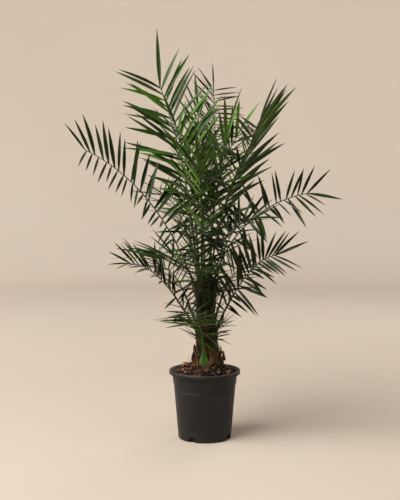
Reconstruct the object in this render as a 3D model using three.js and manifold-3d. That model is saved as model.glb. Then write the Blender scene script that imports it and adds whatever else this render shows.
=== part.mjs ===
// Pygmy date palm in a nursery pot. Millimetres, +Z up. The origin is the middle of the pot's
// flat underside; +X is to the right and -Y towards someone who looks at the plant's front.
//
// The pot holds a root ball of damp bark compost. A short stem clad in old leaf bases stands on
// the compost, and the fronds leave it in a spiral: low ones arch out, young ones stand upright.
// A frond is one rib with two rows of stiff pointed leaflets. A frond that arches far over is
// two pieces, its bare stalk and its blade, which meet just below the first leaflets.

import * as THREE from 'three';
import { mergeVertices } from 'three/addons/utils/BufferGeometryUtils.js';
import Module from 'manifold-3d';

// ---------- Driving sizes ----------

const CLEARANCE = 0.3; // air between two pieces that touch
const SHORTEST_EDGE = 0.03; // joins leave slivers, and anything smaller than this is smoothed away

const POT = {
  height: 230,
  rimRadius: 120,
  collarRadius: 110.4, // under the rim
  stepHeight: 184, // where the collar steps in to the wall
  stepIn: 1.8,
  footRadius: 89,
  wall: 2.6,
  floor: 4,
  rimHeight: 12,
  segments: 36,
};

const DRAIN = { count: 4, first: 62, width: 22, height: 19, depth: 14 }; // notches at the foot

const COMPOST = { edge: 213, crown: 244, crownRadius: 56 };

const STEM = {
  foot: COMPOST.crown + CLEARANCE,
  top: 530,
  footOffset: 10, // sideways place of its foot; the stem leans back towards the pot's middle
  topOffset: -2,
  sides: 14,
};

// Old leaf bases that clad the stem, in a rising spiral
const HUSK = { count: 30, turn: 137.5, low: 266, high: 440, length: 62, width: 30, depth: 10 };

const LEAFLET = {
  width: 0.088, // as a share of its length
  narrowest: 7.5,
  broadest: 15,
  depth: 2.2,
  widest: 0.38, // where along its length it is widest
  atStalk: 0.5, // length of the first ones against the longest
  rise: 1.5,
  fallOff: 0.2, // how much shorter the last ones are again
};

// How far leaflets stray from an even row: in place, angles and length
const STRAY = { place: 0.5, open: 14, vee: 22, tilt: 40, length: 0.24, moreAtStalk: 2.6 };

// Room that leaflets leave round other pieces
const ROOM = { overRim: 6, besideRim: 10, stem: 16, stemTop: 8, stalk: 1.35 };

const STALK = { sides: 3, foot: 6.6, neck: 4, blade: 2.7, tip: 1.2, neckAt: 0.14 }; // half widths

// ---------- The fronds ----------
// foot, out: height and compass turn at which the stalk leaves the stem
// lift: how steeply it leaves; reach, way, height: where the rib ends
// fall, swing: slope of the rib at its end, and how far it has turned aside
// bow: how far each end's direction carries on, as shares of the span
// bare: share of the rib without leaflets; split: the stalk is a piece of its own
// leaf, pairs, open, vee: longest leaflet, number of pairs, angle to the rib at both ends of
// the blade, and how far the two rows are raised; roll, twist: turn of the blade about its rib
// skew, cross: how much wider the left row opens at its foot, and what is added up to the tip
// lean: how much shorter the left row is
// broad: width of the leaflets against the usual; end: slope of the last one; tip: its length
// Turns are in degrees: 0 is right, 90 is back, 180 is left and 270 is front.

const USUAL = {
  swing: 0, bow: [0.42, 0.35], bare: 0.22, split: false, leaf: 150, pairs: 17, open: [78, 30],
  vee: 28, roll: 0, twist: 0, skew: 0, cross: 0, lean: 0, broad: 1, tilt: 22, end: null, tip: 1,
  girth: 1, sheath: 0.35,
};

const FRONDS = [
  { name: 'top_left', foot: 480, out: 210, lift: 82, reach: 163, way: 158, height: 1184, fall: 70,
    swing: 8, bow: [0.5, 0.36], bare: 0.3, leaf: 200, pairs: 23, open: [66, 38], vee: 14,
    roll: -75, tilt: 8, end: 86, tip: 1.12 },
  { name: 'left', foot: 450, out: 172, lift: 74, reach: 402, way: 198, height: 960, fall: 22,
    swing: 12, bow: [0.34, 0.36], split: true, leaf: 124, pairs: 22, open: [94, 60], vee: 20,
    roll: -75, skew: 17, lean: 0.22, broad: 1.12, end: 52 },
  { name: 'right', foot: 440, out: 350, lift: 86, reach: 348, way: 342, height: 822, fall: 8,
    swing: 6, bow: [0.5, 0.25], split: true, leaf: 130, pairs: 19, open: [100, 44], vee: 26,
    roll: 80, broad: 1.14, end: -7 },
  { name: 'upper_right', foot: 465, out: 308, lift: 84, reach: 280, way: 306, height: 1024,
    fall: 34, swing: -22, bow: [0.52, 0.3], split: true, bare: 0.28, leaf: 212, pairs: 26,
    open: [56, 31], vee: 10, roll: 18, twist: 22, skew: -7, broad: 1, tilt: -60, end: 42,
    tip: 1.1 },
  { name: 'top_back', foot: 492, out: 62, lift: 78, reach: 128, way: 76, height: 1188, fall: 100,
    bow: [0.5, 0.35], bare: 0.5, leaf: 119, pairs: 26, open: [72, 56], vee: 10, roll: 20,
    skew: -24, lean: -0.07, broad: 0.72, tip: 0.85, girth: 0.85 },
  { name: 'low_right', foot: 345, out: 355, lift: 64, reach: 262, way: 330, height: 625, fall: 10,
    swing: 10, bow: [0.34, 0.26], split: true, leaf: 134, pairs: 20, open: [66, 37], vee: 26,
    roll: 90, skew: -28, cross: 30, lean: -0.08, broad: 1.05, end: 24 },
  { name: 'low_left', foot: 350, out: 190, lift: 55, reach: 272, way: 206, height: 597, fall: 4,
    swing: 20, bow: [0.38, 0.38], split: true, leaf: 122, pairs: 19, open: [76, 26], vee: 25,
    roll: -45, broad: 0.95, tip: 0.85 },
  { name: 'front_left', foot: 375, out: 228, lift: 82, reach: 240, way: 232, height: 616, fall: -4,
    swing: -30, bow: [0.48, 0.35], split: true, leaf: 174, pairs: 20, open: [98, 34], vee: 24,
    broad: 0.72, tilt: 30, end: 6 },
  { name: 'foot_front', foot: 268, out: 254, lift: 70, reach: 150, way: 250, height: 448, fall: 20,
    swing: -24, bow: [0.34, 0.3], bare: 0.24, leaf: 140, pairs: 22, open: [88, 75], vee: 4,
    roll: 6, skew: 32, cross: -67, lean: 0.12, broad: 0.9, tilt: 20, end: 20, girth: 1.25,
    sheath: 0.9 },
  { name: 'spear', foot: 530, out: 332, lift: 86, reach: 86, way: 332, height: 1020, fall: 75,
    bare: 0.7, leaf: 180, pairs: 5, open: [42, 16], vee: 10, girth: 0.85 },
  { name: 'front_right', foot: 395, out: 331, lift: 80, reach: 215, way: 318, height: 742, fall: 6,
    bow: [0.46, 0.34], split: true, leaf: 130, open: [84, 34], roll: 40 },
  { name: 'front', foot: 385, out: 276, lift: 84, reach: 215, way: 262, height: 700, fall: 0,
    swing: 30, bow: [0.48, 0.35], split: true, leaf: 135, roll: -30 },
  { name: 'back', foot: 450, out: 90, lift: 80, reach: 320, way: 98, height: 930, fall: 5,
    split: true, pairs: 16 },
  { name: 'back_left', foot: 430, out: 130, lift: 78, reach: 320, way: 122, height: 820, fall: 0,
    split: true, pairs: 15, roll: -15 },
  { name: 'back_right', foot: 430, out: 44, lift: 78, reach: 300, way: 62, height: 720, fall: -4,
    split: true, leaf: 145, pairs: 15, roll: 15 },
  { name: 'low_back', foot: 360, out: 95, lift: 66, reach: 300, way: 92, height: 600, fall: -6,
    split: true, leaf: 130, pairs: 12 },
  { name: 'low_back_left', foot: 335, out: 140, lift: 62, reach: 260, way: 130, height: 560,
    fall: -6, split: true, leaf: 125, pairs: 15, roll: -10 },
  { name: 'low_back_right', foot: 345, out: 48, lift: 66, reach: 230, way: 50, height: 560,
    fall: 0, split: true, leaf: 125, pairs: 13, roll: 20 },
  { name: 'low_front_right', foot: 325, out: 315, lift: 76, reach: 100, way: 300, height: 500,
    fall: 15, leaf: 98, pairs: 15, open: [64, 34], roll: 10 },
  { name: 'foot_right', foot: 300, out: 318, lift: 84, reach: 70, way: 318, height: 388, fall: 50,
    bare: 0.15, leaf: 76, pairs: 13, open: [100, 44], vee: 4, broad: 0.8 },
  { name: 'inner_left', foot: 508, out: 165, lift: 86, reach: 95, way: 175, height: 1040, fall: 70,
    bare: 0.3, pairs: 19, open: [50, 26], vee: 20, roll: -60, girth: 0.85 },
  { name: 'inner_right', foot: 500, out: 10, lift: 86, reach: 112, way: 352, height: 1020,
    fall: 58, bare: 0.3, pairs: 20, open: [54, 30], vee: 18, roll: 66, skew: -6, girth: 0.85 },
  { name: 'inner_back', foot: 515, out: 118, lift: 87, reach: 70, way: 110, height: 1110, fall: 76,
    bare: 0.3, pairs: 19, open: [48, 24], vee: 20, girth: 0.85 },
  { name: 'inner_front', foot: 500, out: 250, lift: 87, reach: 95, way: 258, height: 920, fall: 62,
    bare: 0.25, pairs: 18, open: [52, 26], vee: 20, girth: 0.85 },
].map((frond, index) => ({ ...USUAL, ...frond, seed: 11 + index }));

// ---------- Solids ----------

const wasm = await Module();
wasm.setup();

function solid(geometry) {
  const bare = geometry.clone();
  bare.deleteAttribute('normal');
  bare.deleteAttribute('uv');
  const merged = mergeVertices(bare, 1e-3);
  const mesh = new wasm.Mesh({
    numProp: 3,
    vertProperties: new Float32Array(merged.attributes.position.array),
    triVerts: new Uint32Array(merged.index.array),
  });
  return new wasm.Manifold(mesh);
}

// The largest piece of a body, without crumbs that a cut has left
function largest(body) {
  return body.decompose().reduce((best, piece) => (piece.volume() > best.volume() ? piece : best));
}

function geometryOf(body) {
  const mesh = largest(body).simplify(SHORTEST_EDGE).getMesh();
  const geometry = new THREE.BufferGeometry();
  const corners = new Float32Array(mesh.vertProperties);
  geometry.setAttribute('position', new THREE.BufferAttribute(corners, 3));
  geometry.setIndex(new THREE.BufferAttribute(new Uint32Array(mesh.triVerts), 1));
  return geometry;
}

// Moves every corner of a geometry to place(x, y, z)
function reshape(geometry, place) {
  const position = geometry.attributes.position;
  const corner = new THREE.Vector3();
  for (let i = 0; i < position.count; i += 1) {
    corner.fromBufferAttribute(position, i);
    const moved = place(corner.x, corner.y, corner.z);
    position.setXYZ(i, moved.x, moved.y, moved.z);
  }
  return geometry;
}

function finish(color, roughness) {
  return new THREE.MeshStandardMaterial({ color, roughness, metalness: 0 });
}

const FINISH = {
  pot: finish('#2b2a28', 0.6),
  compost: finish('#4a3122', 0.95),
  stem: finish('#5e3a26', 0.95),
  frond: finish('#3d5a28', 0.5),
};

const palm = new THREE.Group();

function addPiece(name, geometry, material) {
  const mesh = new THREE.Mesh(geometry, material);
  mesh.name = name;
  palm.add(mesh);
}

// ---------- Small sums ----------

const UP = new THREE.Vector3(0, 0, 1);

const radians = THREE.MathUtils.degToRad;
const mix = THREE.MathUtils.lerp;

function heading(turn, rise = 0) {
  const flat = Math.cos(radians(rise));
  const x = flat * Math.cos(radians(turn));
  const y = flat * Math.sin(radians(turn));
  return new THREE.Vector3(x, y, Math.sin(radians(rise)));
}

// start + direction * distance
function along(start, direction, distance) {
  return start.clone().addScaledVector(direction, distance);
}

// cos(angle) * a + sin(angle) * b
function turned(a, b, degrees) {
  const angle = radians(degrees);
  return a.clone().multiplyScalar(Math.cos(angle)).addScaledVector(b, Math.sin(angle));
}

// The part of a direction that is square to another
function squareTo(direction, axis) {
  return along(direction, axis, -direction.dot(axis)).normalize();
}

// A number from -0.5 to 0.5 that belongs to a seed and a count
function chance(seed, count) {
  let n = (Math.imul(seed, 374761393) + Math.imul(count, 668265263)) >>> 0;
  n = Math.imul(n ^ (n >>> 13), 1274126177) >>> 0;
  return ((n ^ (n >>> 16)) & 0xffff) / 65536 - 0.5;
}

// ---------- Pot and compost ----------

// Radius of the pot's outer wall at a height
function wallRadius(height) {
  const top = POT.collarRadius;
  const step = mix(POT.footRadius, top, POT.stepHeight / POT.height);
  if (height > POT.stepHeight) {
    return mix(step, top, (height - POT.stepHeight) / (POT.height - POT.stepHeight));
  }
  return mix(POT.footRadius, step - POT.stepIn, height / POT.stepHeight);
}

function lathe(outline, segments) {
  const points = outline.map(([radius, height]) => new THREE.Vector2(radius, height));
  return new THREE.LatheGeometry(points, segments).rotateX(Math.PI / 2);
}

function potShell() {
  const lip = POT.height - POT.rimHeight;
  const inner = (height) => wallRadius(height) - POT.wall;
  const outline = [
    [0, 0],
    [POT.footRadius - 3, 0],
    [POT.footRadius, 3],
    [wallRadius(POT.stepHeight), POT.stepHeight],
    [wallRadius(POT.stepHeight) + POT.stepIn, POT.stepHeight + 2],
    [wallRadius(lip), lip],
    [POT.rimRadius - 1.5, lip],
    [POT.rimRadius, lip + 1.5],
    [POT.rimRadius, POT.height - 3],
    [POT.rimRadius - 2.5, POT.height],
    [POT.rimRadius - 5, POT.height],
    [inner(POT.height), POT.height - 4],
    [inner(POT.stepHeight), POT.stepHeight],
    [inner(POT.floor + 3), POT.floor + 3],
    [inner(POT.floor) - 3, POT.floor],
    [0, POT.floor],
  ];
  return solid(lathe(outline, POT.segments));
}

function drainNotch(turn) {
  const box = new THREE.BoxGeometry(2 * DRAIN.depth, DRAIN.width, 2 * DRAIN.height);
  box.translate(POT.footRadius + DRAIN.depth / 2, 0, 0).rotateZ(radians(turn));
  return solid(box);
}

function pot() {
  let body = potShell();
  for (let i = 0; i < DRAIN.count; i += 1) {
    body = body.subtract(drainNotch(DRAIN.first + (i * 360) / DRAIN.count));
  }
  return body;
}

function compost() {
  const gap = POT.wall + CLEARANCE * 1.2;
  const floor = POT.floor + CLEARANCE;
  const outline = [
    [0, floor],
    [wallRadius(floor) - gap - 5, floor],
    [wallRadius(floor + 5) - gap, floor + 5],
    [wallRadius(POT.stepHeight - 3) - gap, POT.stepHeight - 3],
    [wallRadius(COMPOST.edge) - gap - 1.5, COMPOST.edge],
    [(COMPOST.crownRadius + POT.footRadius) / 2, mix(COMPOST.edge, COMPOST.crown, 0.6)],
    [COMPOST.crownRadius, COMPOST.crown],
    [0, COMPOST.crown],
  ];
  return solid(lathe(outline, POT.segments));
}

// ---------- Stem ----------

// Radius of the stem by height: a flared foot, a narrower neck, and a taper to the top
function stemRadius(height) {
  const share = (height - STEM.foot) / (STEM.top - STEM.foot);
  const flare = 20 * Math.exp(-share * 7.5);
  return mix(31, 19, share) + flare;
}

function stemCentre(height) {
  const share = (height - STEM.foot) / (STEM.top - STEM.foot);
  return new THREE.Vector3(mix(STEM.footOffset, STEM.topOffset, share), 0, height);
}

function stemCore(extra) {
  const top = STEM.top + extra;
  const levels = [0, 0.06, 0.14, 0.28, 0.5, 0.75, 1].map((share) => mix(STEM.foot, top, share));
  const outline = [
    [0, STEM.foot],
    ...levels.map((height) => [stemRadius(height) + extra, height]),
    [0, top],
  ];
  const core = lathe(outline, STEM.sides);
  return solid(reshape(core, (x, y, z) => stemCentre(z).add(new THREE.Vector3(x, y, 0))));
}

// A pointed blade of six faces: a root, a tip, two edges and a keel under the middle
function blade(root, direction, length, across, width, depth) {
  const under = new THREE.Vector3().crossVectors(across, direction);
  const middle = along(root, direction, LEAFLET.widest * length);
  const spindle = new THREE.SphereGeometry(1, 3, 2);
  return reshape(spindle, (x, y, z) => {
    const ahead = y * length * (y > 0 ? 1 - LEAFLET.widest : LEAFLET.widest);
    const aside = (z * width) / Math.sqrt(3);
    const below = (-x * depth) / 1.5;
    return along(middle, direction, ahead).addScaledVector(across, aside).addScaledVector(under, below);
  });
}

function husk(index, extra) {
  const share = index / (HUSK.count - 1);
  const height = mix(HUSK.low, HUSK.high, share);
  const turn = index * HUSK.turn;
  const size = 1 - 0.35 * share + 0.3 * chance(5, index);
  const direction = heading(turn, 62 + 14 * chance(6, index));
  const across = new THREE.Vector3().crossVectors(UP, heading(turn));
  const root = along(stemCentre(height - 16), heading(turn), stemRadius(height) - 14);
  const grown = 4 * extra;
  const length = HUSK.length * size + 2 * grown;
  return solid(blade(root, direction, length, across, HUSK.width * size + grown, HUSK.depth + grown));
}

// The stem with its old leaf bases; extra thickens it all round
function stem(extra) {
  let body = stemCore(extra);
  for (let i = 0; i < HUSK.count; i += 1) {
    body = body.add(husk(i, extra));
  }
  return body;
}

// ---------- Fronds ----------

function ribCurve(frond) {
  const start = along(stemCentre(frond.foot), heading(frond.out), stemRadius(frond.foot) * 0.75);
  const tip = heading(frond.way).multiplyScalar(frond.reach).setZ(frond.height);
  const span = start.distanceTo(tip);
  const leave = along(start, heading(frond.out, frond.lift), frond.bow[0] * span);
  const arrive = along(tip, heading(frond.way + frond.swing, frond.fall), -frond.bow[1] * span);
  return new THREE.CubicBezierCurve3(start, leave, arrive, tip);
}

// Share of the blade passed at a place t of the rib
function bladeShare(frond, t) {
  return Math.max(0, (t - frond.bare) / (1 - frond.bare));
}

// Directions at a place of the rib: on along it, to its left, and up out of its face
function ribFrame(frond, rib, t) {
  const on = rib.getTangent(t);
  const ahead = heading(frond.way + frond.swing * t);
  const flat = squareTo(new THREE.Vector3().crossVectors(UP, ahead), on);
  const face = new THREE.Vector3().crossVectors(on, flat);
  const roll = frond.roll + frond.twist * bladeShare(frond, t);
  return { on, left: turned(flat, face, roll), out: turned(face, flat, -roll) };
}

function ribRadius(frond, t) {
  const neck = STALK.neckAt;
  if (t < neck) return mix(STALK.foot, STALK.neck, t / neck) * frond.girth;
  if (t < frond.bare) {
    return mix(STALK.neck, STALK.blade, (t - neck) / (frond.bare - neck)) * frond.girth;
  }
  return mix(STALK.blade * frond.girth, STALK.tip, bladeShare(frond, t));
}

// The rib from place t0 to t1: a tapering rod bent along its curve, broad where it clasps the stem
function ribRod(frond, rib, t0, t1) {
  const steps = Math.max(3, Math.round((t1 - t0) * 12));
  const rod = new THREE.CylinderGeometry(1, 1, 1, STALK.sides, steps);
  return reshape(rod, (x, y, z) => {
    const t = mix(t0, t1, y + 0.5);
    const frame = ribFrame(frond, rib, t);
    const radius = ribRadius(frond, t);
    const width = radius * (1 + frond.sheath * Math.max(0, 1 - t / STALK.neckAt));
    return along(rib.getPoint(t), frame.left, z * width).addScaledVector(frame.out, x * radius);
  });
}

function leafletLength(frond, share) {
  const swell = Math.min(1, LEAFLET.atStalk + LEAFLET.rise * share);
  return frond.leaf * swell * (1 - LEAFLET.fallOff * share * share);
}

// One leaflet of the rule: k counts pairs from the stalk, side is 1 or -1
function leaflet(frond, rib, k, side) {
  const draw = (n) => chance(frond.seed, k * 16 + (side > 0 ? 8 : 0) + n);
  const share = Math.min(0.99, (k + 0.5 + 0.22 * side + STRAY.place * draw(0)) / frond.pairs);
  const loose = 1 + STRAY.moreAtStalk * (1 - share);
  const t = mix(frond.bare, 1, share);
  const frame = ribFrame(frond, rib, t);
  const even = mix(frond.open[0], frond.open[1], share ** 1.6);
  const skew = frond.skew + frond.cross * share;
  const open = even + side * skew + STRAY.open * loose * draw(1);
  const vee = frond.vee + STRAY.vee * loose * draw(2);
  const sideways = turned(frame.left.clone().multiplyScalar(side), frame.out, vee);
  const direction = turned(frame.on, sideways, open).normalize();
  const length = leafletLength(frond, share) * (1 - side * frond.lean) * (1 + STRAY.length * draw(3));
  const tilt = side * frond.tilt + STRAY.tilt * draw(4);
  return leafBlade(frond, rib.getPoint(t), direction, length, frame.on, ribRadius(frond, t), tilt);
}

// The last leaflet, which carries the rib on to a point
function endLeaflet(frond, rib) {
  const frame = ribFrame(frond, rib, 1);
  const slope = frond.end ?? frond.fall;
  const direction = heading(frond.way + frond.swing, slope);
  const length = leafletLength(frond, 1) * 1.1 * frond.tip;
  return leafBlade(frond, rib.getPoint(1), direction, length, frame.left, STALK.tip * 2, 0);
}

function leafBlade(frond, place, direction, length, beside, sunk, tilt) {
  const flat = squareTo(beside, direction);
  const across = turned(flat, new THREE.Vector3().crossVectors(direction, flat), tilt);
  const root = along(place, direction, -0.6 * sunk);
  const width = THREE.MathUtils.clamp(LEAFLET.width * length, LEAFLET.narrowest, LEAFLET.broadest);
  return blade(root, direction, length, across, width * frond.broad, LEAFLET.depth);
}

// ---------- Room between leaflets ----------

// A convex cell: its corners, its faces' directions and its edges' directions
function cell(geometry) {
  const bare = geometry.clone();
  bare.deleteAttribute('normal');
  bare.deleteAttribute('uv');
  const merged = mergeVertices(bare, 1e-3);
  const place = merged.attributes.position;
  const corners = [];
  for (let i = 0; i < place.count; i += 1) corners.push(new THREE.Vector3().fromBufferAttribute(place, i));
  const faces = [];
  const edges = [];
  const index = merged.index.array;
  for (let i = 0; i < index.length; i += 3) {
    const [a, b, c] = [corners[index[i]], corners[index[i + 1]], corners[index[i + 2]]];
    const ab = b.clone().sub(a);
    faces.push(new THREE.Vector3().crossVectors(ab, c.clone().sub(a)).normalize());
    if (index[i] < index[i + 1]) edges.push(ab.normalize());
    if (index[i + 1] < index[i + 2]) edges.push(c.clone().sub(b).normalize());
    if (index[i + 2] < index[i]) edges.push(a.clone().sub(c).normalize());
  }
  return { corners, faces, edges, box: new THREE.Box3().setFromPoints(corners) };
}

function gapAlong(axis, one, other) {
  const reach = (body) => body.corners.map((corner) => corner.dot(axis));
  const first = reach(one);
  const second = reach(other);
  return Math.max(Math.min(...second) - Math.max(...first), Math.min(...first) - Math.max(...second));
}

// Whether two convex cells keep the clearance from each other
function apart(one, other, clearance) {
  const near = one.box.clone().expandByScalar(clearance);
  if (!near.intersectsBox(other.box)) return true;
  for (const axis of [...one.faces, ...other.faces]) {
    if (gapAlong(axis, one, other) > clearance) return true;
  }
  const axis = new THREE.Vector3();
  for (const first of one.edges) {
    for (const second of other.edges) {
      axis.crossVectors(first, second);
      if (axis.lengthSq() < 1e-4) continue;
      if (gapAlong(axis.normalize(), one, other) > clearance) return true;
    }
  }
  return false;
}

// The rib as convex cells, one for each of its steps
function ribCells(frond, rib, t0, t1) {
  const steps = Math.max(3, Math.round((t1 - t0) * 12));
  const cells = [];
  for (let i = 0; i < steps; i += 1) {
    const from = mix(t0, t1, i / steps);
    const rod = new THREE.CylinderGeometry(1, 1, 1, STALK.sides, 1);
    cells.push(cell(reshape(rod, (x, y, z) => {
      const t = mix(from, from + (t1 - t0) / steps, y + 0.5);
      const frame = ribFrame(frond, rib, t);
      const radius = ribRadius(frond, t) * ROOM.stalk;
      return along(rib.getPoint(t), frame.left, z * radius).addScaledVector(frame.out, x * radius);
    })));
  }
  return cells;
}

// Whether a leaflet stays above the pot and off the stem
function clearOfPot(piece) {
  return piece.corners.every((corner) => {
    const radius = Math.hypot(corner.x, corner.y);
    return corner.z > POT.height + (radius < POT.rimRadius + ROOM.besideRim ? ROOM.overRim : 0);
  });
}

function clearOfStem(piece, root, tip) {
  for (let i = 0; i <= 8; i += 1) {
    const point = root.clone().lerp(tip, i / 8);
    const top = STEM.top + ROOM.stemTop;
    const centre = stemCentre(Math.min(point.z, top));
    if (point.z < top && point.distanceTo(centre) < stemRadius(point.z) + ROOM.stem) return false;
  }
  return true;
}

// The leaflets that a frond has room for, as geometries
function leafletsWithRoom(frond, rib, taken) {
  const kept = [];
  const tryLeaflet = (geometry) => {
    const piece = cell(geometry);
    const ends = [piece.corners[0], piece.corners[0]];
    for (const corner of piece.corners) {
      if (corner.distanceTo(ends[0]) > ends[1].distanceTo(ends[0])) ends[1] = corner;
    }
    if (!clearOfPot(piece) || !clearOfStem(piece, ...ends)) return;
    if (taken.every((other) => apart(piece, other, 2 * CLEARANCE))) kept.push({ geometry, piece });
  };
  tryLeaflet(endLeaflet(frond, rib));
  for (let k = frond.pairs - 1; k >= 0; k -= 1) {
    for (const side of [1, -1]) {
      tryLeaflet(leaflet(frond, rib, k, side));
    }
  }
  return kept;
}

// ---------- The plant ----------

addPiece('pot', geometryOf(pot()), FINISH.pot);
addPiece('root_ball', geometryOf(compost()), FINISH.compost);
addPiece('stem', geometryOf(stem(0)), FINISH.stem);

const stemRoom = stem(CLEARANCE);

// Every stalk is laid out first, so that no frond's leaflets cross another's stalk
const ribs = FRONDS.map((frond) => ribCurve(frond));
const ribSpace = FRONDS.map((frond, i) => ribCells(frond, ribs[i], 0.02, 1));
const leafSpace = [];

FRONDS.forEach((frond, i) => {
  const rib = ribs[i];
  const others = ribSpace.filter((_, j) => j !== i).flat();
  const seam = CLEARANCE / 2 / rib.getLength();
  const bladeStart = frond.split ? frond.bare - 0.02 : 0;
  let ownStalk = [];
  if (frond.split) {
    ownStalk = ribCells(frond, rib, 0.02, bladeStart);
    const stalk = solid(ribRod(frond, rib, 0, bladeStart - seam)).subtract(stemRoom);
    addPiece(`frond_${frond.name}_stalk`, geometryOf(stalk), FINISH.frond);
  }
  const leaves = leafletsWithRoom(frond, rib, [...others, ...ownStalk, ...leafSpace]);
  let body = solid(ribRod(frond, rib, bladeStart + (frond.split ? seam : 0), 1));
  if (!frond.split) body = body.subtract(stemRoom);
  for (const leaf of leaves) {
    body = body.add(solid(leaf.geometry));
    leafSpace.push(leaf.piece);
  }
  addPiece(`frond_${frond.name}`, geometryOf(body), FINISH.frond);
});

export default palm;
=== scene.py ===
# The looks of the pygmy date palm in its nursery pot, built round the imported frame. Metres, +Z up.
#
# The plant grows by the same rule as the part's solids. The origin is the middle of the pot's
# underside; +X is to the right and -Y towards the camera. Turns are in degrees: 0 is right, 90 is
# back, 180 is left and 270 is front.

from math import atan2, cos, degrees, exp, hypot, pi, radians, sin, sqrt
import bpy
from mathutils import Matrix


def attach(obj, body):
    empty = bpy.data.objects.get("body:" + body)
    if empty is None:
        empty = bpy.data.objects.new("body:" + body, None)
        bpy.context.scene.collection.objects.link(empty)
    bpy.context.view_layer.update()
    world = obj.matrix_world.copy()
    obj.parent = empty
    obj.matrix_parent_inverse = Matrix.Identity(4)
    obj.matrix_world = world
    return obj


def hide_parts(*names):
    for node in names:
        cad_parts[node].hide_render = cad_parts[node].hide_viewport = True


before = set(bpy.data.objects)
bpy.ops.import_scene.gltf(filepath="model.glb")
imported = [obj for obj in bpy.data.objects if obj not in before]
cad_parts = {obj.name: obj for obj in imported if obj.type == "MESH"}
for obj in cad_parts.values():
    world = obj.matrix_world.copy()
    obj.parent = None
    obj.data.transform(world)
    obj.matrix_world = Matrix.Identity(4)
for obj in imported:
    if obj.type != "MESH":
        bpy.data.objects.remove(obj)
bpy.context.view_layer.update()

from types import SimpleNamespace as Values

import bpy
import numpy as np
from mathutils import Vector, noise

BODY = "root"
FROND_NODES = sorted(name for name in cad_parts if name.startswith("frond_"))

# ---------- Driving sizes ----------

POT = Values(
    height=.230,
    rim=.120,            # outer radius of the rim band
    collar=.1104,        # radius under the rim
    step=.184,           # height where the collar steps in to the wall
    step_in=.0018,
    foot=.089,
    wall=.0026,
    floor=.004,
    rim_height=.012,
    segments=192,
)

# Notches at the foot, round-headed; their cutters reach below the pot
DRAIN = Values(count=4, first=62, width=.022, height=.019, depth=.014, bend=.006, below=.005)

COMPOST = Values(edge=.213, crown=.244, crown_radius=.056, gap=.003)

STEM = Values(
    foot=.2443,
    top=.530,
    foot_offset=.010,    # sideways place of its foot; the stem leans back to the pot's middle
    top_offset=-.002,
    foot_radius=.031,    # without the flare
    top_radius=.019,
    flare=.020,          # how much wider the foot is
    flare_fade=7.5,      # how fast that is lost up the stem
)

STALK = Values(foot=.0066, neck=.0040, blade=.0027, tip=.0012, neck_at=.14)

LEAFLET = Values(
    width=.088,          # as a share of its length
    narrowest=.0075,
    broadest=.0150,
    widest=.38,          # where along its length it is widest
    thick=.0007,
    at_stalk=.5,         # length of the first ones against the longest
    rise=1.5,
    fall_off=.2,         # how much shorter the last ones are again
    stagger=.22,         # how far the two rows are offset, in pairs
    closing=1.6,         # how late their angle closes up toward the tip
)

# How far leaflets stray from an even row, as in the part's source: in place, angles and length
STRAY = Values(place=.5, open=14, vee=22, tilt=40, length=.24, more_at_stalk=2.6)

# Room that leaflets leave round the pot and the stem
ROOM = Values(over_rim=.006, beside_rim=.012, stem=.004)

# ---------- The fronds ----------
# A row holds the COLUMNS, and then what isn't USUAL.
# foot, out: height and turn at which the stalk leaves the stem; lift: how steeply it leaves
# reach, way, height: where the rib ends; fall, swing: slope of its end, and how far it turns aside
# bow: how far each end's direction carries on; bare: share of the rib without leaflets
# leaf, pairs, broad: the longest leaflet, the pairs, and their width against the usual
# open, vee: the leaflets' angle to the rib at its foot and tip, and how raised both rows are
# roll, twist: turn of the blade about its rib, and what the tip adds to it
# skew, cross: how much wider the left row opens at its foot, and what the tip adds to it
# lean: how much shorter the left row is; tilt: how far leaflets turn about their own length
# end, tip: slope of the last leaflet, if it isn't the rib's, and its length against the usual
# girth, sheath: thickness of the stalk against the usual, and how much its foot widens
# tone: the green that its leaflets are dealt round, 0 the darkest

COLUMNS = ("name", "foot", "out", "lift", "reach", "way", "height", "fall", "leaf", "pairs")
USUAL = dict(
    swing=0, bow=(.42, .35), bare=.22, open=(78, 30), vee=28, roll=0, twist=0, skew=0, cross=0,
    lean=0, broad=1, tilt=22, end=None, tip=1, girth=1, sheath=.35, tone=1,
)

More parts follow.
